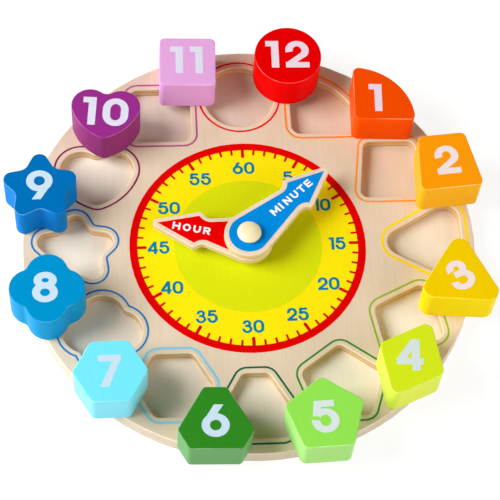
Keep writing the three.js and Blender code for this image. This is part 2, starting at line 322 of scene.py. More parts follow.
HOURS = [
    Hour(1, "quarter", quarter(side=30.4, corner=3), play=1.9,
         slot_at=(0.4995, 0.9358), turn=-2.5, digit_at=(-4.4, -2.7)),
    Hour(2, "trapezoid", trapezoid(top=23.6, base=31.8, height=30.6, corner=3), play=0.9,
         slot_at=(0.8664, 0.4855), turn=5.1, digit_at=(0.2, 0.5)),
    Hour(3, "triangle", rounded(sides=3, reach=25.2, start=90, corner=5.2), play=2.2,
         slot_at=(1.0592, 0), slot_turn=90, turn=-4.6, digit_at=(-0.3, 0.2), digit_turn=25.4),
    Hour(4, "rhombus", rhombus(side=27.7, degrees=75, corner=3.8), play=1.4,
         slot_at=(0.878, -0.5041), slot_turn=-27, turn=-29.2, digit_at=(-1.0, 1.8), digit_turn=-3),
    Hour(5, "pentagon", rounded(sides=5, reach=19.5, start=90, corner=3.2), play=0.9,
         slot_at=(0.4774, -0.8688), turn=2.4, digit_at=(-0.4, -0.9)),
    Hour(6, "cut_triangle", cut_triangle(reach=26.8, tip=11, corner=2.4), play=1.4,
         slot_at=(0, -1.0105), turn=-1.5, digit_at=(-0.1, 0.4)),
    Hour(7, "hexagon", rounded(sides=6, reach=17.7, start=0, corner=3.2), play=1.0,
         slot_at=(-0.4506, -0.8537), turn=0.8, digit_at=(-0.2, 0.1)),
    Hour(8, "flower", flower(lobe=9.9, spread=8.1, notch=4), play=1.0,
         slot_at=(-0.8351, -0.5145), turn=-1.2, digit_at=(-0.9, 0.4)),
    Hour(9, "star", star(tip=4.2, reach=18.3, notch=5.2, waist=12.6), play=0.8,
         slot_at=(-0.9803, 0.0023), turn=0.6, digit_at=(-0.2, 0.8), digit_turn=0.4),
    Hour(10, "heart", heart(lobe=9.4, spread=7.7, side=26, tip=3, drop=15.8, notch=5), play=1.3,
         slot_at=(-0.849, 0.5203), turn=-5.2, digit_at=(0.1, -3.4)),
    Hour(11, "square", square(side=28.2, corner=2.8), play=1.3,
         slot_at=(-0.4704, 0.8792), turn=-1.6, digit_at=(-0.5, 1.0)),
    Hour(12, "round", [(0, 0, 16.9)], play=1.0,
         slot_at=(0, 0.9977), turn=0.9, digit_at=(-0.3, 0.6), digit_turn=-1),
]

# Paint of each block's top and sides, its digits, and the line round its slot, in sRGB. The sides'
# colour is the top's paint made paler and lighter, as painted light.
ROSY_DIGIT = (238, 217, 231)
CREAM_DIGIT = (246, 229, 228)
MINT_DIGIT = (214, 229, 228)
COOL_DIGIT = (196, 221, 239)
LILAC_DIGIT = (221, 220, 238)
COLOURS = {
    1: ((245, 76, 0), (252, 86, 0), ROSY_DIGIT, (250, 136, 18)),
    2: ((255, 157, 10), (255, 189, 36), CREAM_DIGIT, (250, 156, 40)),
    3: ((244, 206, 0), (255, 228, 6), CREAM_DIGIT, (253, 220, 6)),
    4: ((211, 233, 30), (226, 244, 84), MINT_DIGIT, (150, 185, 40)),
    5: ((145, 227, 82), (169, 229, 129), MINT_DIGIT, (60, 140, 60)),
    6: ((47, 133, 33), (106, 166, 104), COOL_DIGIT, (0, 100, 72)),
    7: ((113, 228, 246), (138, 230, 255), COOL_DIGIT, (140, 208, 232)),
    8: ((0, 142, 202), (16, 154, 212), COOL_DIGIT, (0, 128, 192)),
    9: ((0, 108, 180), (0, 128, 214), COOL_DIGIT, (0, 124, 192)),
    10: ((150, 44, 138), (149, 54, 124), LILAC_DIGIT, (140, 30, 85)),
    11: ((226, 166, 223), (233, 170, 238), LILAC_DIGIT, (185, 85, 140)),
    12: ((230, 0, 0), (238, 0, 0), ROSY_DIGIT, (222, 0, 8)),
}


# Glyphs stand on a grid whose capital height is CAP. Each one is a list of polygons that may overlap,
# worked out from the stem's weight and the glyph's width. Level strokes are a little thinner than
# stems, and the bowls of a 3 or an 8 meet at the waist.
CAP = 16.0
WAIST = 8.8
LEVEL_SHARE = 0.86
BOWL_FACET = 7


def bar(x0, y0, x1, y1):
    return [[(x0, y0), (x1, y0), (x1, y1), (x0, y1)]]


def stems(stem, width, low=0, high=CAP):
    return bar(0, low, stem, high) + bar(width - stem, low, width, high)


def bowl(centre, reach, stem, start=0, end=360):
    """Facets of a stroke between an ellipse and the one inside it, from one angle to another."""
    steps = math.ceil(abs(end - start) / BOWL_FACET)
    pairs = []
    for k in range(steps + 1):
        c, s = polar(1, start + (end - start) * k / steps)
        outer = (centre[0] + reach[0] * c, centre[1] + reach[1] * s)
        inner = (centre[0] + (reach[0] - stem) * c, centre[1] + (reach[1] - stem * LEVEL_SHARE) * s)
        pairs.append((outer, inner))
    return [[a[0], b[0], b[1], a[1]] for a, b in zip(pairs, pairs[1:])]


def bowl_heights(level):
    """Half heights of a lower and an upper bowl that overlap at the waist."""
    return (WAIST + level / 2) / 2, (CAP - WAIST + level / 2) / 2


def digit_0(stem, width):
    r = width / 2
    roof = bowl((r, CAP - r), (r, r), stem, 0, 180)
    return stems(stem, width, r, CAP - r) + roof + bowl((r, r), (r, r), stem, 180, 360)


def digit_1(stem, width):
    return bar(width - stem, 0, width, CAP) + bar(0, CAP - LEVEL_SHARE * stem, width - stem, CAP)


def digit_2(stem, width):
    level = LEVEL_SHARE * stem
    x, r = width / 2, 5.75
    heel, toe = 0.85 * level, 0.46 * width
    arch = bowl((x, CAP - r), (x, r), stem, 192, -35)
    outer, inner = arch[-1][1], arch[-1][2]
    diagonal = [outer, inner, (0, heel), (0, 0), (toe, 0), (toe, level)]
    return arch + [diagonal] + bar(0, 0, width, level)


def digit_3(stem, width):
    level, slim, x = LEVEL_SHARE * stem, 0.95 * stem, width / 2
    arm, upper_x = 0.66 * stem, 0.82 * x
    low_r, high_r = bowl_heights(level)
    lower = bowl((x, low_r), (x, low_r), slim, 90, -188)
    upper = bowl((x, CAP - high_r), (upper_x, high_r), slim, 190, -90)
    return lower + upper + bar(x - arm, WAIST - level / 2, x, WAIST + level / 2)


def digit_4(stem, width):
    level, wide = LEVEL_SHARE * stem, 1.15 * stem
    overhang, foot = 1.5, 3.0
    right, shoulder = width - overhang, foot + 0.86 * level
    left = right - stem
    slope = (CAP - shoulder) / left
    neck = CAP - (wide - stem) * slope
    diagonal = [(0, shoulder), (wide, shoulder), (right, neck), (right, CAP), (left, CAP)]
    return bar(left, 0, right, CAP) + bar(0, foot, width, foot + level) + [diagonal]


def digit_5(stem, width):
    x, r = width / 2, 5.0 + 0.27 * stem
    inset, setback, lean = 1.8, 1.6, 1.2
    foot, slim = r + 2.4, 0.92 * stem
    back = [(inset, CAP), (inset - lean, foot), (inset - lean + slim, foot), (inset + stem, CAP)]
    roof = bar(inset, CAP - LEVEL_SHARE * stem, width - setback, CAP)
    return [back] + roof + bowl((x, r), (x, r), stem, 146, -186)


def digit_6(stem, width):
    x, r = width / 2, 5.0 + 0.22 * stem
    peak, wide = x - 0.6, 1.15 * stem
    inside = [(x + 0.2 * stem, 2 * r - 0.2), (x, 2 * r - LEVEL_SHARE * stem), (0.21 * width, 1.2 * r)]
    slant = [(peak, CAP), (peak + wide, CAP), *inside, (0.07 * width, 1.38 * r)]
    return bowl((x, r), (x, r), stem) + [slant]


def digit_7(stem, width):
    roof, nose = CAP - LEVEL_SHARE * stem, CAP - 0.48 * stem
    foot, wide = 0.06 * width, 1.12 * stem
    diagonal = [(width, CAP), (width - wide, roof), (foot, 0), (foot + wide, 0), (width, nose)]
    return bar(0, roof, width, CAP) + [diagonal]


def digit_8(stem, width):
    x = width / 2
    upper_x = 0.9 * x
    low_r, high_r = bowl_heights(LEVEL_SHARE * stem)
    return bowl((x, low_r), (x, low_r), stem) + bowl((x, CAP - high_r), (upper_x, high_r), stem)


def digit_9(stem, width):
    return [[(width - x, CAP - y) for x, y in polygon] for polygon in digit_6(stem, width)]


def letter_e(stem, width):
    level, setback = LEVEL_SHARE * stem, 0.9
    middle = bar(0, (CAP - level) / 2, width - setback, (CAP + level) / 2)
    ends = bar(0, 0, width, level) + bar(0, CAP - level, width, CAP)
    return bar(0, 0, stem, CAP) + ends + middle


def letter_h(stem, width):
    level = LEVEL_SHARE * stem
    return stems(stem, width) + bar(0, (CAP - level) / 2, width, (CAP + level) / 2)


def letter_i(stem, _):
    return bar(0, 0, stem, CAP)


def letter_m(stem, width):
    half, dip = width / 2, 3.4
    fall = [(0, CAP), (stem, CAP), (half + stem / 2, dip), (half - stem / 2, dip)]
    rise = [(width - x, y) for x, y in fall]
    return stems(stem, width) + [fall, rise]


def letter_n(stem, width):
    diagonal = [(0, CAP), (stem, CAP), (width, 0), (width - stem, 0)]
    return stems(stem, width) + [diagonal]


def letter_o(stem, width):
    return bowl((width / 2, CAP / 2), (width / 2, CAP / 2), stem)


def letter_r(stem, width):
    level, eye, knee, setback = LEVEL_SHARE * stem, 5.0, 9.6, 1
    bend = width - eye - setback
    levels = bar(0, CAP - level, bend, CAP) + bar(0, CAP - 2 * eye, bend, CAP - 2 * eye + level)
    leg = [(width - 1.2 * stem, 0), (width, 0), (knee, CAP / 2), (knee - 1.1 * stem, CAP / 2)]
    loop = bowl((bend, CAP - eye), (eye, eye), stem, -90, 90)
    return bar(0, 0, stem, CAP) + levels + loop + [leg]


def letter_t(stem, width):
    roof = bar(0, CAP - LEVEL_SHARE * stem, width, CAP)
    return roof + bar((width - stem) / 2, 0, (width + stem) / 2, CAP)


def letter_u(stem, width):
    r = width / 2
    return stems(stem, width, r) + bowl((r, r), (r, r), stem, 180, 360)


# Each glyph's shape, and its width as a fixed part and a share of the stem
GLYPHS = {
    "0": (digit_0, 11.0, 0.45), "1": (digit_1, 2.8, 1.0), "2": (digit_2, 9.6, 0.62),
    "3": (digit_3, 9.4, 0.72), "4": (digit_4, 9.3, 0.86), "5": (digit_5, 9.6, 0.82),
    "6": (digit_6, 10.0, 0.75), "7": (digit_7, 8.8, 0.5), "8": (digit_8, 9.4, 0.72),
    "9": (digit_9, 10.0, 0.75), "E": (letter_e, 13.8, 0.0), "H": (letter_h, 15.6, 0.0),
    "I": (letter_i, 0.0, 1.0), "M": (letter_m, 18.6, 0.0), "N": (letter_n, 15.0, 0.0),
    "O": (letter_o, 16.2, 0.0), "R": (letter_r, 15.0, 0.0), "T": (letter_t, 15.0, 0.0),
    "U": (letter_u, 14.8, 0.0),
}


def lettering(words, cap, stem, gaps, narrow=1.0):
    """Polygons of a line of glyphs centred on the origin, with its capital height, stem and gaps."""
    scale = cap / CAP
    across = scale * narrow
    weight = stem / scale
    x, line = 0.0, []
    for letter, gap in zip(words, (*gaps, 0)):
        draw, fixed, share = GLYPHS[letter]
        width = fixed + share * weight
        for polygon in draw(weight, width):
            line.append([(x + px * across, py * scale) for px, py in polygon])
        x += width * across + gap
    return [[(px - x / 2, py - cap / 2) for px, py in polygon] for polygon in line]


def number(value, cap, stem, gap, narrow=1.0):
    words = str(value)
    return lettering(words, cap, stem, [gap] * (len(words) - 1), narrow)


# Meshes
def make_object(name, points, faces, material, smooth=True):
    mesh = bpy.data.meshes.new(name)
    mesh.from_pydata([tuple(c * MM for c in p) for p in points], [], faces)
    mesh.validate()
    mesh.polygons.foreach_set("use_smooth", [smooth] * len(mesh.polygons))
    mesh.update()
    piece = bpy.data.objects.new(name, mesh)
    bpy.context.scene.collection.objects.link(piece)
    mesh.materials.append(material)
    if smooth:
        mesh.set_sharp_from_angle(angle=math.radians(SHARP_ABOVE))
        weighted = piece.modifiers.new("Weighted normals", "WEIGHTED_NORMAL")
        weighted.keep_sharp = True
    return piece


def loft(rings, closed=False):
    """Points and faces of a skin over rings of equal count: closed on itself, or capped at its ends."""
    count = len(rings[0])
    points = [p for ring in rings for p in ring]
    faces = []
    for r in range(len(rings) if closed else len(rings) - 1):
        here, above = r * count, (r + 1) % len(rings) * count
        for i in range(count):
            j = (i + 1) % count
            faces.append((here + i, here + j, above + j, above + i))
    if not closed:
        faces.append(tuple(reversed(range(count))))
        faces.append(tuple(range(len(points) - count, len(points))))
    return points, faces


def at_level(points, z):
    return [(x, y, z) for x, y in points]


def quarter_arc():
    return [TURN / 4 * k / EDGE_STEPS for k in range(EDGE_STEPS + 1)]


def upper_round(high, edge):
    """(margin, level) pairs of a wall's rounded upper edge."""
    return [(-edge * (1 - math.cos(a)), high - edge * (1 - math.sin(a))) for a in quarter_arc()]


def lower_round(low, edge):
    return [(-edge * (1 - math.sin(a)), low + edge * (1 - math.cos(a))) for a in quarter_arc()]


def belt_rings(discs, place, profile):
    """A belt outline at (x, y, turn), once for each (margin, level) pair."""
    return [at_level(placed(belt(discs, margin), *place), z) for margin, z in profile]


def plate(name, discs, place, low, high, edge, material, smooth=True):
    """A plate with rounded edges over a belt outline."""
    profile = lower_round(low, edge) + upper_round(high, edge)
    return make_object(name, *loft(belt_rings(discs, place, profile)), material, smooth)


def anticlockwise(polygon):
    area = sum(a[0] * b[1] - b[0] * a[1] for a, b in zip(polygon, polygon[1:] + polygon[:1]))
    return polygon if area > 0 else polygon[::-1]


def triangulate(polygons, merge_within):
    """Triangles inside some polygons: new points, triangles, the points that each new point comes
    from, and the polygons that cover each triangle."""
    flat, loops = [], []
    for polygon in polygons:
        loops.append(list(range(len(flat), len(flat) + len(polygon))))
        flat += [Vector(point) for point in polygon]
    result = delaunay_2d_cdt(flat, [], loops, INSIDE_ONLY, merge_within)
    spots, _, triangles, sources, _, covers = result
    return [tuple(spot) for spot in spots], triangles, sources, covers


def inked(name, polygons, place, low, high, material):
    """A thin slab over the union of some polygons, as ink on a face."""
    outlines = [anticlockwise(polygon) for polygon in polygons]
    spots, triangles, _, covers = triangulate(outlines, INK_MERGE)
    triangles = [triangle for triangle, cover in zip(triangles, covers) if cover]
    spots = placed(spots, *place)
    count = len(spots)
    rim = {(a, b) for t in triangles for a, b in zip(t, t[1:] + t[:1])}
    faces = [tuple(count + v for v in t) for t in triangles]
    faces += [tuple(reversed(t)) for t in triangles]
    faces += [(a, b, count + b, count + a) for a, b in sorted(rim) if (b, a) not in rim]
    return make_object(name, at_level(spots, low) + at_level(spots, high), faces, material, False)


def turned(name, profile, material, closed=False):
    """A piece turned on the hands' axis, from (radius, level) pairs."""
    rings = [at_level(regular(TURNED_SIDES, radius, 0), z) for radius, z in profile]
    return make_object(name, *loft(rings, closed), material)


class Sheet:
    """A sheet with openings: upright skins round its rim and its openings, and two flat faces."""

    def __init__(self):
        self.points = []
        self.faces = []
        self.low_loops = []
        self.high_loops = []

    def wall(self, discs, place, profile, opening):
        """A skin over (margin, level) pairs, which faces inwards round an opening."""
        rings = belt_rings(discs, place, profile)
        start, count = len(self.points), len(rings[0])
        for ring in rings:
            self.points += ring
        for low in range(start, len(self.points) - count, count):
            for i in range(count):
                j = (i + 1) % count
                face = (low + i, low + j, low + count + j, low + count + i)
                self.faces.append(face[::-1] if opening else face)
        self.low_loops.append(list(range(start, start + count)))
        self.high_loops.append(list(range(len(self.points) - count, len(self.points))))

    def cap(self, loops, upward):
        """Fill the first loop, but not the loops inside it."""
        ids = [i for loop in loops for i in loop]
        outlines = [[self.points[i][:2] for i in loop] for loop in loops]
        _, triangles, sources, covers = triangulate(outlines, SHEET_MERGE)
        for triangle, cover in zip(triangles, covers):
            if len(cover) == 1:
                face = tuple(ids[sources[v][0]] for v in triangle)
                self.faces.append(face if upward else face[::-1])

    def finish(self, name, material):
        self.cap(self.high_loops, True)
        self.cap(self.low_loops, False)
        return make_object(name, self.points, self.faces, material)


# Materials
def to_linear(value):
    """The linear share of an sRGB value of 0 to 255."""
    share = value / 255
    return share / 12.92 if share <= 0.04045 else ((share + 0.055) / 1.055) ** 2.4


def rgba(colour):
    return (*(to_linear(value) for value in colour), 1.0)


def grey(value):
    return (value, value, value, 1.0)


class Nodes:
    """Short forms for the node tree of one material."""

    def __init__(self, name):
        self.material = bpy.data.materials.new(name)
        self.material.use_nodes = True
        self.tree = self.material.node_tree
        self.shader = self.tree.nodes["Principled BSDF"]

    def feed(self, node, key, value):
        if isinstance(value, bpy.types.NodeSocket):
            self.tree.links.new(value, node.inputs[key])
        else:
            node.inputs[key].default_value = value

    def add(self, kind, values=None, **settings):
        node = self.tree.nodes.new(kind)
        for key, value in settings.items():
            setattr(node, key, value)
        for key, value in (values or {}).items():
            self.feed(node, key, value)
        return node

    def math(self, operation, a, b=0.0):
        return self.add("ShaderNodeMath", {0: a, 1: b}, operation=operation).outputs[0]

    def blend(self, values, shares):
        """Sum of values, each times its share."""
        total = 0.0
        for value, share in zip(values, shares):
            total = self.math("ADD", total, self.math("MULTIPLY", value, share))
        return total

    def mix(self, factor, a, b, blend="MIX"):
        settings = {"data_type": "RGBA", "blend_type": blend}
        return self.add("ShaderNodeMix", {"Factor": factor, 6: a, 7: b}, **settings).outputs[2]

    def times(self, colour, tint):
        return self.mix(1.0, colour, tint, "MULTIPLY")

    def ramp(self, factor, stops):
        """Grey levels at (position, level) stops."""
        node = self.add("ShaderNodeValToRGB", {0: factor})
        while len(node.color_ramp.elements) < len(stops):
            node.color_ramp.elements.new(1.0)
        for element, (position, level) in zip(node.color_ramp.elements, stops):
            element.position = position
            element.color = grey(level)
        return node.outputs[0]

    def place(self, scale=(1, 1, 1), turn=0.0):
        """Object coordinates, turned about Z and then scaled."""
        spot = self.add("ShaderNodeTexCoord").outputs["Object"]
        rotation = (0, 0, math.radians(turn))
        values = {"Vector": spot, "Rotation": rotation, "Scale": [1 / s for s in scale]}
        return self.add("ShaderNodeMapping", values, vector_type="TEXTURE").outputs[0]

    def noise(self, kind, stretch=(1, 1, 1), turn=0.0):
        values = {"Roughness": NOISE_ROUGHNESS, **kind, "Vector": self.place(stretch, turn)}
        return self.add("ShaderNodeTexNoise", values).outputs[0]

    def vectors(self, operation, a, b=(0, 0, 0)):
        return self.add("ShaderNodeVectorMath", {0: a, 1: b}, operation=operation).outputs

    def upright(self):
        """How far the surface faces up, from -1 to 1."""
        normal = self.add("ShaderNodeNewGeometry").outputs["Normal"]
        return self.add("ShaderNodeSeparateXYZ", {0: normal}).outputs[2]

    def reach(self):
        """Distance from the hands' axis."""
        flat = self.vectors("MULTIPLY", self.place(), (1, 1, 0))[0]
        return self.vectors("LENGTH", flat)["Value"]

    def level(self):
        return self.add("ShaderNodeSeparateXYZ", {0: self.place()}).outputs[2]

    def set(self, **values):
        for key, value in values.items():
            self.feed(self.shader, key.replace("_", " "), value)

    def bump(self, height, strength, distance):
        values = {"Height": height, "Strength": strength, "Distance": distance * MM}
        self.feed(self.shader, "Normal", self.add("ShaderNodeBump", values).outputs[0])


# How fast a noise changes along x, y and z. The grain runs along +Y where it isn't turned.
STREAK = (26, 1, 5)
FIBRE = (70, 3, 12)
CLOUD = (1.8, 1, 1.5)
END_GRAIN = (1, 1, 8)

# Noises, and the roughness of those that don't say one
NOISE_ROUGHNESS = 0.55
WOOD_STREAKS = {"Scale": 34, "Detail": 5, "Roughness": 0.6, "Distortion": 0.25}
WOOD_FIBRES = {"Scale": 26, "Detail": 3}
WOOD_CLOUDS = {"Scale": 40, "Detail": 3}
WOOD_END_GRAIN = {"Scale": 300, "Detail": 3}
PAINT_GRAIN = {"Scale": 30, "Detail": 4}
PAINT_SPECKS = {"Scale": 700, "Detail": 2}
PAINT_HIGHLIGHT_NOISE = {"Scale": 48, "Detail": 4}
INK_GRAIN = {"Scale": 45, "Detail": 4}
INK_DOTS = {"Scale": 900, "Detail": 2}
PLASTIC_FLOW = {"Scale": 160, "Detail": 3, "Distortion": 0.6}

# Shares of noises in a tone: streaks, fibres and clouds; glue lines and end grain; grain and specks
WOOD_TONE = (0.4, 0.25, 0.35)
PLY_TONE = (0.8, 0.3)
PAINT_TONE = (0.7, 0.3)
INK_TONE = (0.75, 0.25)
MIDDLE_TONE = 0.5
TONE_SPREAD = 0.11

# Shares of the noises in a bump's height: fibres and streaks, or grain and specks
WOOD_HEIGHT = (1.0, 0.6)
PAINT_HEIGHT = (1.0, 0.35)
INK_HEIGHT = (1.0, 0.5)

# Roughness: a plain level, and where it varies, the share of a noise that is added
WOOD_ROUGHNESS = 0.42
WOOD_ROUGHNESS_NOISE = 0.15
PAINT_ROUGHNESS = 0.3
PAINT_ROUGHNESS_NOISE = 0.12
PLASTIC_ROUGHNESS = 0.3
PLASTIC_COAT_ROUGHNESS = 0.12
INK_ROUGHNESS = 0.38
DIGIT_ROUGHNESS = 0.42
HAND_FACE_ROUGHNESS = 0.3
WORD_ROUGHNESS = 0.35

# Gloss is kept low, because a glancing reflection turns saturated sides pale
WOOD_SPECULAR = 0.25
PAINT_SPECULAR = 0.02
INK_SPECULAR = 0.08
PLASTIC_COAT = 0.25
PLASTIC_SUBSURFACE = 0.15
PLASTIC_SUBSURFACE_RADIUS = (2 * MM, 1.5 * MM, MM)

# Bumps: strength, and depth in millimetres
WOOD_BUMP = (0.12, 0.3)
COAT_BUMP = (0.06, 0.2)
PLASTIC_BUMP = (0.05, 0.2)

# Ramps as (position, level) stops. Those of walls, lips and edges go by how far a surface faces up.
GLUE_LINE = ((0.7, 0), (0.92, 1))
WALL_TO_FACE = ((0.2, 0), (0.45, 1))
# The painted highlight on a rounded lip
LIP_HIGHLIGHT_BAND = ((0.2, 0), (0.45, 0.6), (0.85, 0.6), (0.98, 0))
# Painted light: the sides' paler paint blends into the top's
PAINT_LIT_SIDE_TO_TOP = ((0.3, 0), (0.85, 1))
PAINT_SHADE = ((0.3, 0.955), (0.7, 1.0))
# The painted highlight along a block's upper edge, and the noise that breaks it up
PAINT_HIGHLIGHT_EDGE = ((0.5, 0), (0.65, 1), (0.8, 1), (0.95, 0))
PAINT_HIGHLIGHT_BREAKS = ((0.44, 0.08), (0.62, 1))
INK_SHADE = ((0.3, 0.95), (0.7, 1.0))
PLASTIC_SHADE = ((0.3, 0.96), (0.7, 1.0))

# Share of white in the painted highlight along a block's upper edge, and the turn of the paint's grain
EDGE_HIGHLIGHT_WHITE = 0.6
PAINT_TURN = 8

# Walls nearer to the axis than this belong to openings, and the others to the board's rim
RIM_INSIDE = 108.5

# The side of the boards that takes a darker tint of painted shade, and where along it the tone changes
SHADE_SIDE = (0.5, 0.86, 0)
SHADE_WANDER = 30
SHADE_FROM = 45
SHADE_TO = 95

# Tones of the woods: (pale, dark) of faces, ply edges and openings' walls, the tints of painted shade
# on one side of the boards, and the painted highlight on the lip between a face and its edge. The slot
# floors' face is paler than the board's as painted light, and the openings' walls are darker and warmer
# than the ply edges as painted shade.
BOARD_FACE = ((233, 213, 189), (225, 202, 175))
BOARD_SIDE_SHADE = (249, 247, 245)
SLOT_FLOOR_LIT_FACE = ((249, 240, 225), (241, 229, 211))
SLOT_FLOOR_SIDE_SHADE = (240, 232, 224)
SPACER_FACE = ((228, 202, 168), (210, 182, 144))
HAND_FACE = ((240, 220, 196), (229, 205, 177))
HAND_PLY_EDGE = ((238, 214, 180), (206, 168, 122))
PALE_EDGE = ((220, 209, 190), (205, 185, 158))
SHADED_WALL = ((232, 200, 152), (196, 148, 98))
LIP_HIGHLIGHT = (249, 237, 216)
BOARD_CONTRAST = 0.75
SLOT_FLOOR_CONTRAST = 0.6
SPACER_TURN = 12

# Plastic and inks
CREAM = (248, 236, 192)
DIAL_YELLOW = (255, 234, 12)
DIAL_LIME = (220, 228, 14)
DIAL_RED = (227, 0, 0)
TICK_RED = (214, 6, 10)
DIAL_BLUE = (0, 130, 168)
MINUTE_BLUE = (0, 140, 226)
HOUR_RED = (232, 0, 0)
WORD_WHITE = (250, 250, 252)


def ply_edge(nodes, edge, shaded_walls, ply):
    """Glue lines and end grain between a (pale, dark) pair, with a darker, warmer pair in an
    opening's walls as painted shade.
    """
    wave = nodes.math("PINGPONG", nodes.level(), ply * MM)
    glue = nodes.ramp(nodes.math("DIVIDE", wave, ply * MM), GLUE_LINE)
    end_grain = nodes.noise(WOOD_END_GRAIN, END_GRAIN)
    depth = nodes.blend((glue, end_grain), PLY_TONE)
    rim = nodes.mix(depth, rgba(edge[0]), rgba(edge[1]))
    if not shaded_walls:
        return rim
    outside = nodes.math("GREATER_THAN", nodes.reach(), RIM_INSIDE * MM)
    return nodes.mix(outside, nodes.mix(depth, rgba(shaded_walls[0]), rgba(shaded_walls[1])), rim)


def heartwood(nodes, colour, clouds, tint):
    """The colour, with its tint of painted shade past a wandering line across the sheet."""
    across = nodes.vectors("DOT_PRODUCT", nodes.place(), SHADE_SIDE)["Value"]
    drift = nodes.blend((across, clouds), (1 / MM, SHADE_WANDER))
    limits = {"Value": drift, "From Min": SHADE_FROM, "From Max": SHADE_TO}
    side = nodes.add("ShaderNodeMapRange", limits).outputs[0]
    return nodes.mix(side, colour, nodes.times(colour, rgba(tint)))


def wood(name, face, edge, ply, turn=0.0, shaded_walls=None, contrast=1.0, heart=None):
    """Basswood ply with (pale, dark) tones of its face, its edge and, as painted shade, the walls of
    its openings.
    """
    nodes = Nodes(name)
    streaks = nodes.noise(WOOD_STREAKS, STREAK, turn)
    fibres = nodes.noise(WOOD_FIBRES, FIBRE, turn)
    clouds = nodes.noise(WOOD_CLOUDS, CLOUD, turn)
    tone = nodes.blend((streaks, fibres, clouds), WOOD_TONE)
    spread = TONE_SPREAD / contrast
    dark = nodes.ramp(tone, ((MIDDLE_TONE - spread, 0), (MIDDLE_TONE + spread, 1)))
    colour = nodes.mix(dark, rgba(face[0]), rgba(face[1]))
    # Painted shade: a darker, warmer tint on one side of the sheet
    if heart:
        colour = heartwood(nodes, colour, clouds, heart)
    rim = ply_edge(nodes, edge, shaded_walls, ply)
    facing = nodes.math("ABSOLUTE", nodes.upright())
    colour = nodes.mix(nodes.ramp(facing, WALL_TO_FACE), rim, colour)
    # Painted highlight: a paler band on the rounded lip between a face and its edge.
    colour = nodes.mix(nodes.ramp(facing, LIP_HIGHLIGHT_BAND), colour, rgba(LIP_HIGHLIGHT))
    roughness = nodes.blend((fibres, 1.0), (WOOD_ROUGHNESS_NOISE, WOOD_ROUGHNESS))
    nodes.set(Base_Color=colour, Roughness=roughness, Specular_IOR_Level=WOOD_SPECULAR)
    nodes.bump(nodes.blend((fibres, streaks), WOOD_HEIGHT), *WOOD_BUMP)
    return nodes.material


def paint(name, top, side):
    """Satin paint over wood: faint grain and specks, sides made paler as painted light, and a painted
    highlight along the upper edge.
    """
    nodes = Nodes(name)
    grain = nodes.noise(PAINT_GRAIN, STREAK, PAINT_TURN)
    speck = nodes.noise(PAINT_SPECKS)
    highlight_breaks = nodes.noise(PAINT_HIGHLIGHT_NOISE)
    upright = nodes.upright()
    # The sides take paler paint than the top: painted light.
    colour = nodes.mix(nodes.ramp(upright, PAINT_LIT_SIDE_TO_TOP), rgba(side), rgba(top))
    shade = nodes.ramp(nodes.blend((grain, speck), PAINT_TONE), PAINT_SHADE)
    colour = nodes.times(colour, shade)
    # Painted highlight: a paler band along the rounded upper edge, broken up by noise.
    edge = nodes.ramp(upright, PAINT_HIGHLIGHT_EDGE)
    edge_highlight = nodes.math("MULTIPLY", edge, nodes.ramp(highlight_breaks, PAINT_HIGHLIGHT_BREAKS))
    highlight_colour = [value + (255 - value) * EDGE_HIGHLIGHT_WHITE for value in side]
    colour = nodes.mix(edge_highlight, colour, rgba(highlight_colour))
    roughness = nodes.blend((grain, 1.0), (PAINT_ROUGHNESS_NOISE, PAINT_ROUGHNESS))
    nodes.set(Base_Color=colour, Roughness=roughness, Specular_IOR_Level=PAINT_SPECULAR)
    nodes.bump(nodes.blend((grain, speck), PAINT_HEIGHT), *COAT_BUMP)
    return nodes.material


def ink(name, colour, roughness=INK_ROUGHNESS):
    """Printed ink, which shows the grain of the wood under it."""
    nodes = Nodes(name)
    grain = nodes.noise(INK_GRAIN, STREAK)
    dots = nodes.noise(INK_DOTS)
    shade = nodes.ramp(nodes.blend((grain, dots), INK_TONE), INK_SHADE)
    nodes.set(Base_Color=nodes.times(rgba(colour), shade))
    nodes.set(Roughness=roughness, Specular_IOR_Level=INK_SPECULAR)
    nodes.bump(nodes.blend((grain, dots), INK_HEIGHT), *COAT_BUMP)
    return nodes.material


def plastic(name, colour):
    """Glossy moulded plastic with a trace of flow marks."""
    nodes = Nodes(name)
    flow = nodes.noise(PLASTIC_FLOW)
    colour = nodes.times(rgba(colour), nodes.ramp(flow, PLASTIC_SHADE))
    nodes.set(Base_Color=colour, Roughness=PLASTIC_ROUGHNESS)
    nodes.set(Subsurface_Weight=PLASTIC_SUBSURFACE, Subsurface_Radius=PLASTIC_SUBSURFACE_RADIUS)
    nodes.set(Coat_Weight=PLASTIC_COAT, Coat_Roughness=PLASTIC_COAT_ROUGHNESS)
    nodes.bump(flow, *PLASTIC_BUMP)
    return nodes.material


board_wood = wood("Board ply", BOARD_FACE, PALE_EDGE, PLY, shaded_walls=SHADED_WALL, contrast=BOARD_CONTRAST,
                  heart=BOARD_SIDE_SHADE)
# The slot floors' face is paler than the board's: painted light that lifts the shade in the slots.
floor_wood = wood("Slot floor ply", SLOT_FLOOR_LIT_FACE, PALE_EDGE, PLY, contrast=SLOT_FLOOR_CONTRAST,
                  heart=SLOT_FLOOR_SIDE_SHADE)
spacer_wood = wood("Spacer wood", SPACER_FACE, PALE_EDGE, HAND_PLY, turn=SPACER_TURN)
cream = plastic("Cream plastic", CREAM)


def fit(piece, body, slot, *nodes):
    """Hang a piece on a body, and hide the nodes that it stands for. The slot is not used."""
    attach(piece, body)
    if nodes:
        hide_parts(*nodes)


def box(node):
    """The lowest and highest corners of a node, in millimetres."""
    low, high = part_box(node)
    return Vector(low) / MM, Vector(high) / MM


def half_width(node):
    low, high = box(node)
    return (high.x - low.x) / 2


# Boards
board_base, board_top = (corner.z for corner in box("front_board"))
board_rim = [(*RIM_CENTRE, half_width("front_board"))]
ON_AXIS = (0, 0, 0)


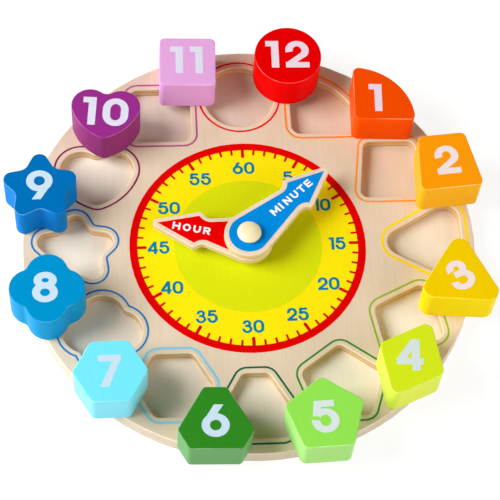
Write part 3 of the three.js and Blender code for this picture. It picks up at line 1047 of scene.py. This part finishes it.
def front_board():
    """The slotted face sheet, with rounded lips at its rim and at its twelve openings."""
    sheet = Sheet()
    lip = upper_round(board_top, FACE_ROUND)
    sheet.wall(board_rim, ON_AXIS, [(0, board_base), *lip], opening=False)
    for hour in HOURS:
        lined = [(hour.play, board_base)] + [(hour.play - margin, z) for margin, z in lip]
        sheet.wall(hour.discs, hour.slot_place, lined, opening=True)
    bore = [(0, 0, SHANK_RADIUS + RUNNING_GAP)]
    sheet.wall(bore, ON_AXIS, [(0, board_base), (0, board_top)], opening=True)
    return sheet.finish("Front_board", board_wood)


def back_board():
    """The plain back sheet, rounded on its underside, with the hole that takes the nut."""
    sheet = Sheet()
    base = box("back_board")[0].z
    edge = [*lower_round(base, UNDERSIDE_ROUND), (0, board_base)]
    sheet.wall(board_rim, ON_AXIS, edge, opening=False)
    hole = [(0, 0, half_width("pin_nut") + RUNNING_GAP)]
    sheet.wall(hole, ON_AXIS, [(0, base), (0, board_base)], opening=True)
    return sheet.finish("Back_board", floor_wood)


fit(front_board(), "board", "front_ply", "front_board")
fit(back_board(), "board", "back_ply", "back_board")


# Dial print, whose layers stand this many thicknesses of ink above the board
CORE_LAYERS = 1.6
MARK_LAYERS = 2.2
FACE_LEVEL = board_top + INK
CORE_LEVEL = board_top + CORE_LAYERS * INK
MARK_LEVEL = board_top + MARK_LAYERS * INK
MINUTES = 60
MINUTES_APART = 5


def clock_angle(minute):
    return 90 - 360 * minute / MINUTES


def printed_plate(name, discs, place, level, material):
    return plate(name, discs, place, board_top, level, INK_EDGE, material, False)


def printed_line(name, discs, place, margins, level, material):
    """A flat line between two margins of a belt outline."""
    inner, outer = margins
    profile = [(inner, board_top), (outer, board_top), (outer, level), (inner, level)]
    return make_object(name, *loft(belt_rings(discs, place, profile), closed=True), material, False)


def dial_grounds():
    face_disc = [(0, 0, DIAL_RADIUS - RING_WIDTH / 2)]
    face = printed_plate("Dial_face", face_disc, ON_AXIS, FACE_LEVEL, ink("Dial yellow", DIAL_YELLOW))
    core_disc = [(0, 0, CORE_RADIUS)]
    core = printed_plate("Dial_core", core_disc, ON_AXIS, CORE_LEVEL, ink("Dial lime", DIAL_LIME))
    red = ink("Dial red", DIAL_RED)
    band = printed_line("Dial_ring", [(0, 0, DIAL_RADIUS)], ON_AXIS, (-RING_WIDTH, 0), CORE_LEVEL, red)
    return [face, core, band]


def dial_ticks():
    red = ink("Tick red", TICK_RED)
    foot = DIAL_RADIUS - RING_WIDTH
    ticks = []
    for minute in range(MINUTES):
        length, width = MINOR_TICK if minute % MINUTES_APART else MAJOR_TICK
        radius = width / 2
        discs = [(foot - length + radius, 0, radius), (foot + TICK_SINK, 0, radius)]
        place = (0, 0, clock_angle(minute))
        ticks.append(printed_plate(f"Tick_{minute:02d}", discs, place, MARK_LEVEL, red))
    return ticks


def dial_numbers():
    teal = ink("Dial blue", DIAL_BLUE)
    numbers = []
    for minute in range(MINUTES_APART, MINUTES + 1, MINUTES_APART):
        polygons = number(minute, NUMBER_CAP, NUMBER_STEM, NUMBER_GAP, NUMBER_NARROW)
        x, y = polar(NUMBER_RADIUS, clock_angle(minute))
        place = (x + NUMBER_SHIFT[0], y + NUMBER_SHIFT[1], 0)
        numbers.append(inked(f"Number_{minute:02d}", polygons, place, board_top, MARK_LEVEL, teal))
    return numbers


def slot_lines():
    lines = []
    for hour in HOURS:
        width = BROAD_LINE_WIDTH if hour.hour in BROAD_LINE_HOURS else LINE_WIDTH
        middle = hour.play + LINE_OFFSET
        margins = (middle - width / 2, middle + width / 2)
        *_, line_colour = COLOURS[hour.hour]
        colour = ink(f"Line {hour.hour}", line_colour)
        name = f"Slot_line_{hour.hour:02d}"
        lines.append(printed_line(name, hour.discs, hour.slot_place, margins, FACE_LEVEL, colour))
    return lines


for printed in dial_grounds() + dial_ticks() + dial_numbers() + slot_lines():
    fit(printed, "board", "front_ply")


# Blocks. A block's top lies one thickness of ink below its node's box, and the digits end at the box.
def block_centre(hour):
    """Where a block's own origin lies, from its node's box and its outline's box."""
    low, high = box(hour.node)
    xs, ys = zip(*placed(belt(hour.discs), 0, 0, hour.turn))
    return (low.x + high.x - min(xs) - max(xs)) / 2, (low.y + high.y - min(ys) - max(ys)) / 2


def block(hour):
    top_colour, lit_side_colour, digit_colour, _ = COLOURS[hour.hour]
    low, high = box(hour.node)
    x, y = block_centre(hour)
    top = high.z - INK
    coat = paint(f"Paint {hour.hour}", top_colour, lit_side_colour)
    place = (x, y, hour.turn)
    body = plate(f"Block_{hour.hour:02d}", hour.discs, place, low.z, top, BLOCK_EDGE, coat)
    fit(body, hour.body, hour.slot, hour.node)
    polygons = number(hour.hour, DIGIT_CAP, DIGIT_STEM, DIGIT_GAP)
    digit_place = (*placed([hour.digit_at], x, y, hour.digit_turn)[0], hour.digit_turn)
    digit_ink = ink(f"Digit ink {hour.hour}", digit_colour, DIGIT_ROUGHNESS)
    name = f"Digits_{hour.hour:02d}"
    digits = inked(name, polygons, digit_place, top - INK, top + INK, digit_ink)
    fit(digits, hour.body, hour.slot)


for hour in HOURS:
    block(hour)


# Hands: ply arrows with a printed face and a word, which ends at the top of the node's box
def arrow(reach, head_length):
    """Discs of an arrow along +X: a hub, a notch at each side, two barbs and a tip."""
    tip = reach - TIP_ROUND
    barb = tip - head_length
    notch_x, notch_y = barb - NECK_SETBACK, NECK_HALF_WIDTH + NECK_ROUND
    return [(0, 0, HUB_RADIUS), (notch_x, -notch_y, -NECK_ROUND), (barb, -HEAD_HALF_WIDTH, TIP_ROUND),
            (tip, 0, TIP_ROUND), (barb, HEAD_HALF_WIDTH, TIP_ROUND), (notch_x, notch_y, -NECK_ROUND)]


def inset_disc(x, y, radius):
    return (x, y, max(radius - PRINT_INSET, LEAST_ROUND) if radius > 0 else radius - PRINT_INSET)


def hand(body, discs, turn, colour):
    """The wood of a hand and its printed face. Gives the level of the wood's top."""
    low, high = box(f"{body}_hand")
    top = high.z - 2 * INK
    name = body.capitalize()
    place = (0, 0, turn)
    ply = wood(f"{name} ply", HAND_FACE, HAND_PLY_EDGE, HAND_PLY, turn=turn - 90)
    arm = plate(f"{name}_hand", discs, place, low.z, top, HAND_EDGE, ply)
    fit(arm, body, "hand_ply", f"{body}_hand")
    face_discs = [inset_disc(*disc) for disc in discs]
    face_ink = ink(f"{name} ink", colour, HAND_FACE_ROUGHNESS)
    face = plate(f"{name}_print", face_discs, place, top - INK, top + INK, INK_EDGE, face_ink, False)
    fit(face, body, "hand_ply")
    return top


def hand_word(body, gaps, word_at, turn, word_turn, top):
    """The name of a hand, in white on its face."""
    name = body.capitalize()
    polygons = lettering(body.upper(), WORD_CAP, WORD_STEM, gaps)
    place = (*placed([word_at], 0, 0, turn)[0], word_turn)
    white = ink(f"{name} white", WORD_WHITE, WORD_ROUGHNESS)
    fit(inked(f"{name}_word", polygons, place, top, top + 2 * INK, white), body, "hand_ply")


def hands():
    minute_top = hand("minute", arrow(MINUTE_REACH, MINUTE_HEAD), MINUTE_TURN, MINUTE_BLUE)
    hand_word("minute", MINUTE_GAPS, MINUTE_WORD_AT, MINUTE_TURN, MINUTE_TURN, minute_top)
    hour_top = hand("hour", arrow(HOUR_REACH, HOUR_HEAD), HOUR_TURN, HOUR_RED)
    hand_word("hour", HOUR_GAPS, HOUR_WORD_AT, HOUR_TURN, HOUR_TURN - 180, hour_top)


hands()


# Pin, rings and nut
def pin():
    """A shank with a tapered end, and a head like a flattened ball."""
    low, high = box("centre_pin")
    reach = half_width("centre_pin")
    foot = box("minute_hand")[1].z + HEAD_GAP
    widest = foot + HEAD_BULGE
    steps = 2 * EDGE_STEPS
    arc = [TURN / 4 * k / steps for k in range(1, steps + 1)]
    profile = [(SHANK_RADIUS - SHANK_LEAD, low.z), (SHANK_RADIUS, low.z + SHANK_LEAD)]
    profile += [(SHANK_RADIUS, foot), (reach - HEAD_LIP, foot)]
    for a in arc:
        profile.append((reach - HEAD_LIP * (1 - math.sin(a)), foot + HEAD_BULGE * (1 - math.cos(a))))
    for a in arc[:-1]:
        profile.append((reach * math.cos(a), widest + (high.z - widest) * math.sin(a)))
    profile.append((LEAST_ROUND, high.z))
    return turned("Knob", profile, cream)


def ring(name, node, edge, material):
    """A flat ring with its outer edges broken."""
    low, high = box(node)
    bore, reach = SHANK_RADIUS + RUNNING_GAP, half_width(node)
    profile = [(bore, low.z), (reach - edge, low.z), (reach, low.z + edge), (reach, high.z - edge),
               (reach - edge, high.z), (bore, high.z)]
    return turned(name, profile, material, closed=True)


fit(pin(), "board", "cream_plastic", "centre_pin")
fit(ring("Spacer", "dial_spacer", SPACER_EDGE, spacer_wood), "board", "front_ply", "dial_spacer")
fit(ring("Washer", "hand_washer", WASHER_EDGE, cream), "board", "cream_plastic", "hand_washer")
for nut_slot in frame["nodes"]["pin_nut"].material_slots:
    nut_slot.material = cream


# Stage
def floor():
    """A white sheet that keeps the object's shadow, with a glow of its own only where it is seen."""
    nodes = Nodes("Studio floor")
    path = nodes.add("ShaderNodeLightPath").outputs
    mirrored = nodes.math("MAXIMUM", path["Is Glossy Ray"], path["Is Transmission Ray"])
    seen = nodes.math("MAXIMUM", path["Is Camera Ray"], mirrored)
    colour = nodes.mix(seen, grey(FLOOR_BOUNCE), grey(FLOOR_SEEN))
    nodes.set(Base_Color=colour, Roughness=FLOOR_ROUGHNESS)
    nodes.set(Emission_Color=grey(1.0), Emission_Strength=nodes.math("MULTIPLY", seen, FLOOR_GLOW))
    square_sheet = [(x, y, -FLOOR_DROP) for x, y in regular(4, FLOOR_REACH, 45)]
    make_object("Floor", square_sheet, [(0, 1, 2, 3)], nodes.material, False)


def world():
    studio = bpy.data.worlds.new("Studio")
    bpy.context.scene.world = studio
    studio.use_nodes = True
    tree = studio.node_tree
    direction = tree.nodes.new("ShaderNodeTexCoord").outputs["Generated"]
    split = tree.nodes.new("ShaderNodeSeparateXYZ")
    ramp = tree.nodes.new("ShaderNodeValToRGB")
    tree.links.new(direction, split.inputs[0])
    tree.links.new(split.outputs[2], ramp.inputs[0])
    tree.links.new(ramp.outputs[0], tree.nodes["Background"].inputs[0])
    low, high = ramp.color_ramp.elements
    low.position, low.color = WORLD_BRIGHT_BELOW, (*WORLD_BRIGHT, 1)
    high.position, high.color = WORLD_DARK_ABOVE, (*WORLD_DARK, 1)


def lamp(name, azimuth, elevation, distance, width, share, colour):
    """A soft square lamp that gives a level face this share of its full light."""
    rise = math.radians(elevation)
    across, ahead = polar(distance * math.cos(rise), 90 - azimuth)
    place = Vector((across, ahead, distance * math.sin(rise)))
    light = bpy.data.lights.new(name, "AREA")
    light.energy = share * (math.pi * distance * MM) ** 2 / math.sin(rise)
    light.size = width * MM
    light.color = colour
    holder = bpy.data.objects.new(name, light)
    holder.location = place * MM
    holder.rotation_euler = (-place).to_track_quat("-Z", "Y").to_euler()
    bpy.context.scene.collection.objects.link(holder)


def camera():
    data = bpy.data.cameras.new("Camera")
    data.sensor_width = SENSOR
    data.lens = FOCAL_PIXELS / IMAGE_PIXELS * SENSOR
    data.clip_start = CLIP_NEAR * MM
    data.clip_end = CLIP_FAR * MM
    eye = bpy.data.objects.new("Camera", data)
    fall = math.radians(CAMERA_ELEVATION)
    across, ahead = polar(math.cos(fall), 90 - CAMERA_AZIMUTH)
    forward = Vector((across, ahead, -math.sin(fall)))
    place = Vector((*CAMERA_AIM, board_top)) - forward * CAMERA_DISTANCE
    roll = Matrix.Rotation(math.radians(CAMERA_ROLL), 3, "Z")
    spin = forward.to_track_quat("-Z", "Y").to_matrix() @ roll
    eye.matrix_world = Matrix.Translation(place * MM) @ spin.to_4x4()
    bpy.context.scene.collection.objects.link(eye)
    bpy.context.scene.camera = eye


floor()
world()
for settings in LAMPS:
    lamp(*settings)
camera()
bpy.context.scene.view_settings.view_transform = "Standard"
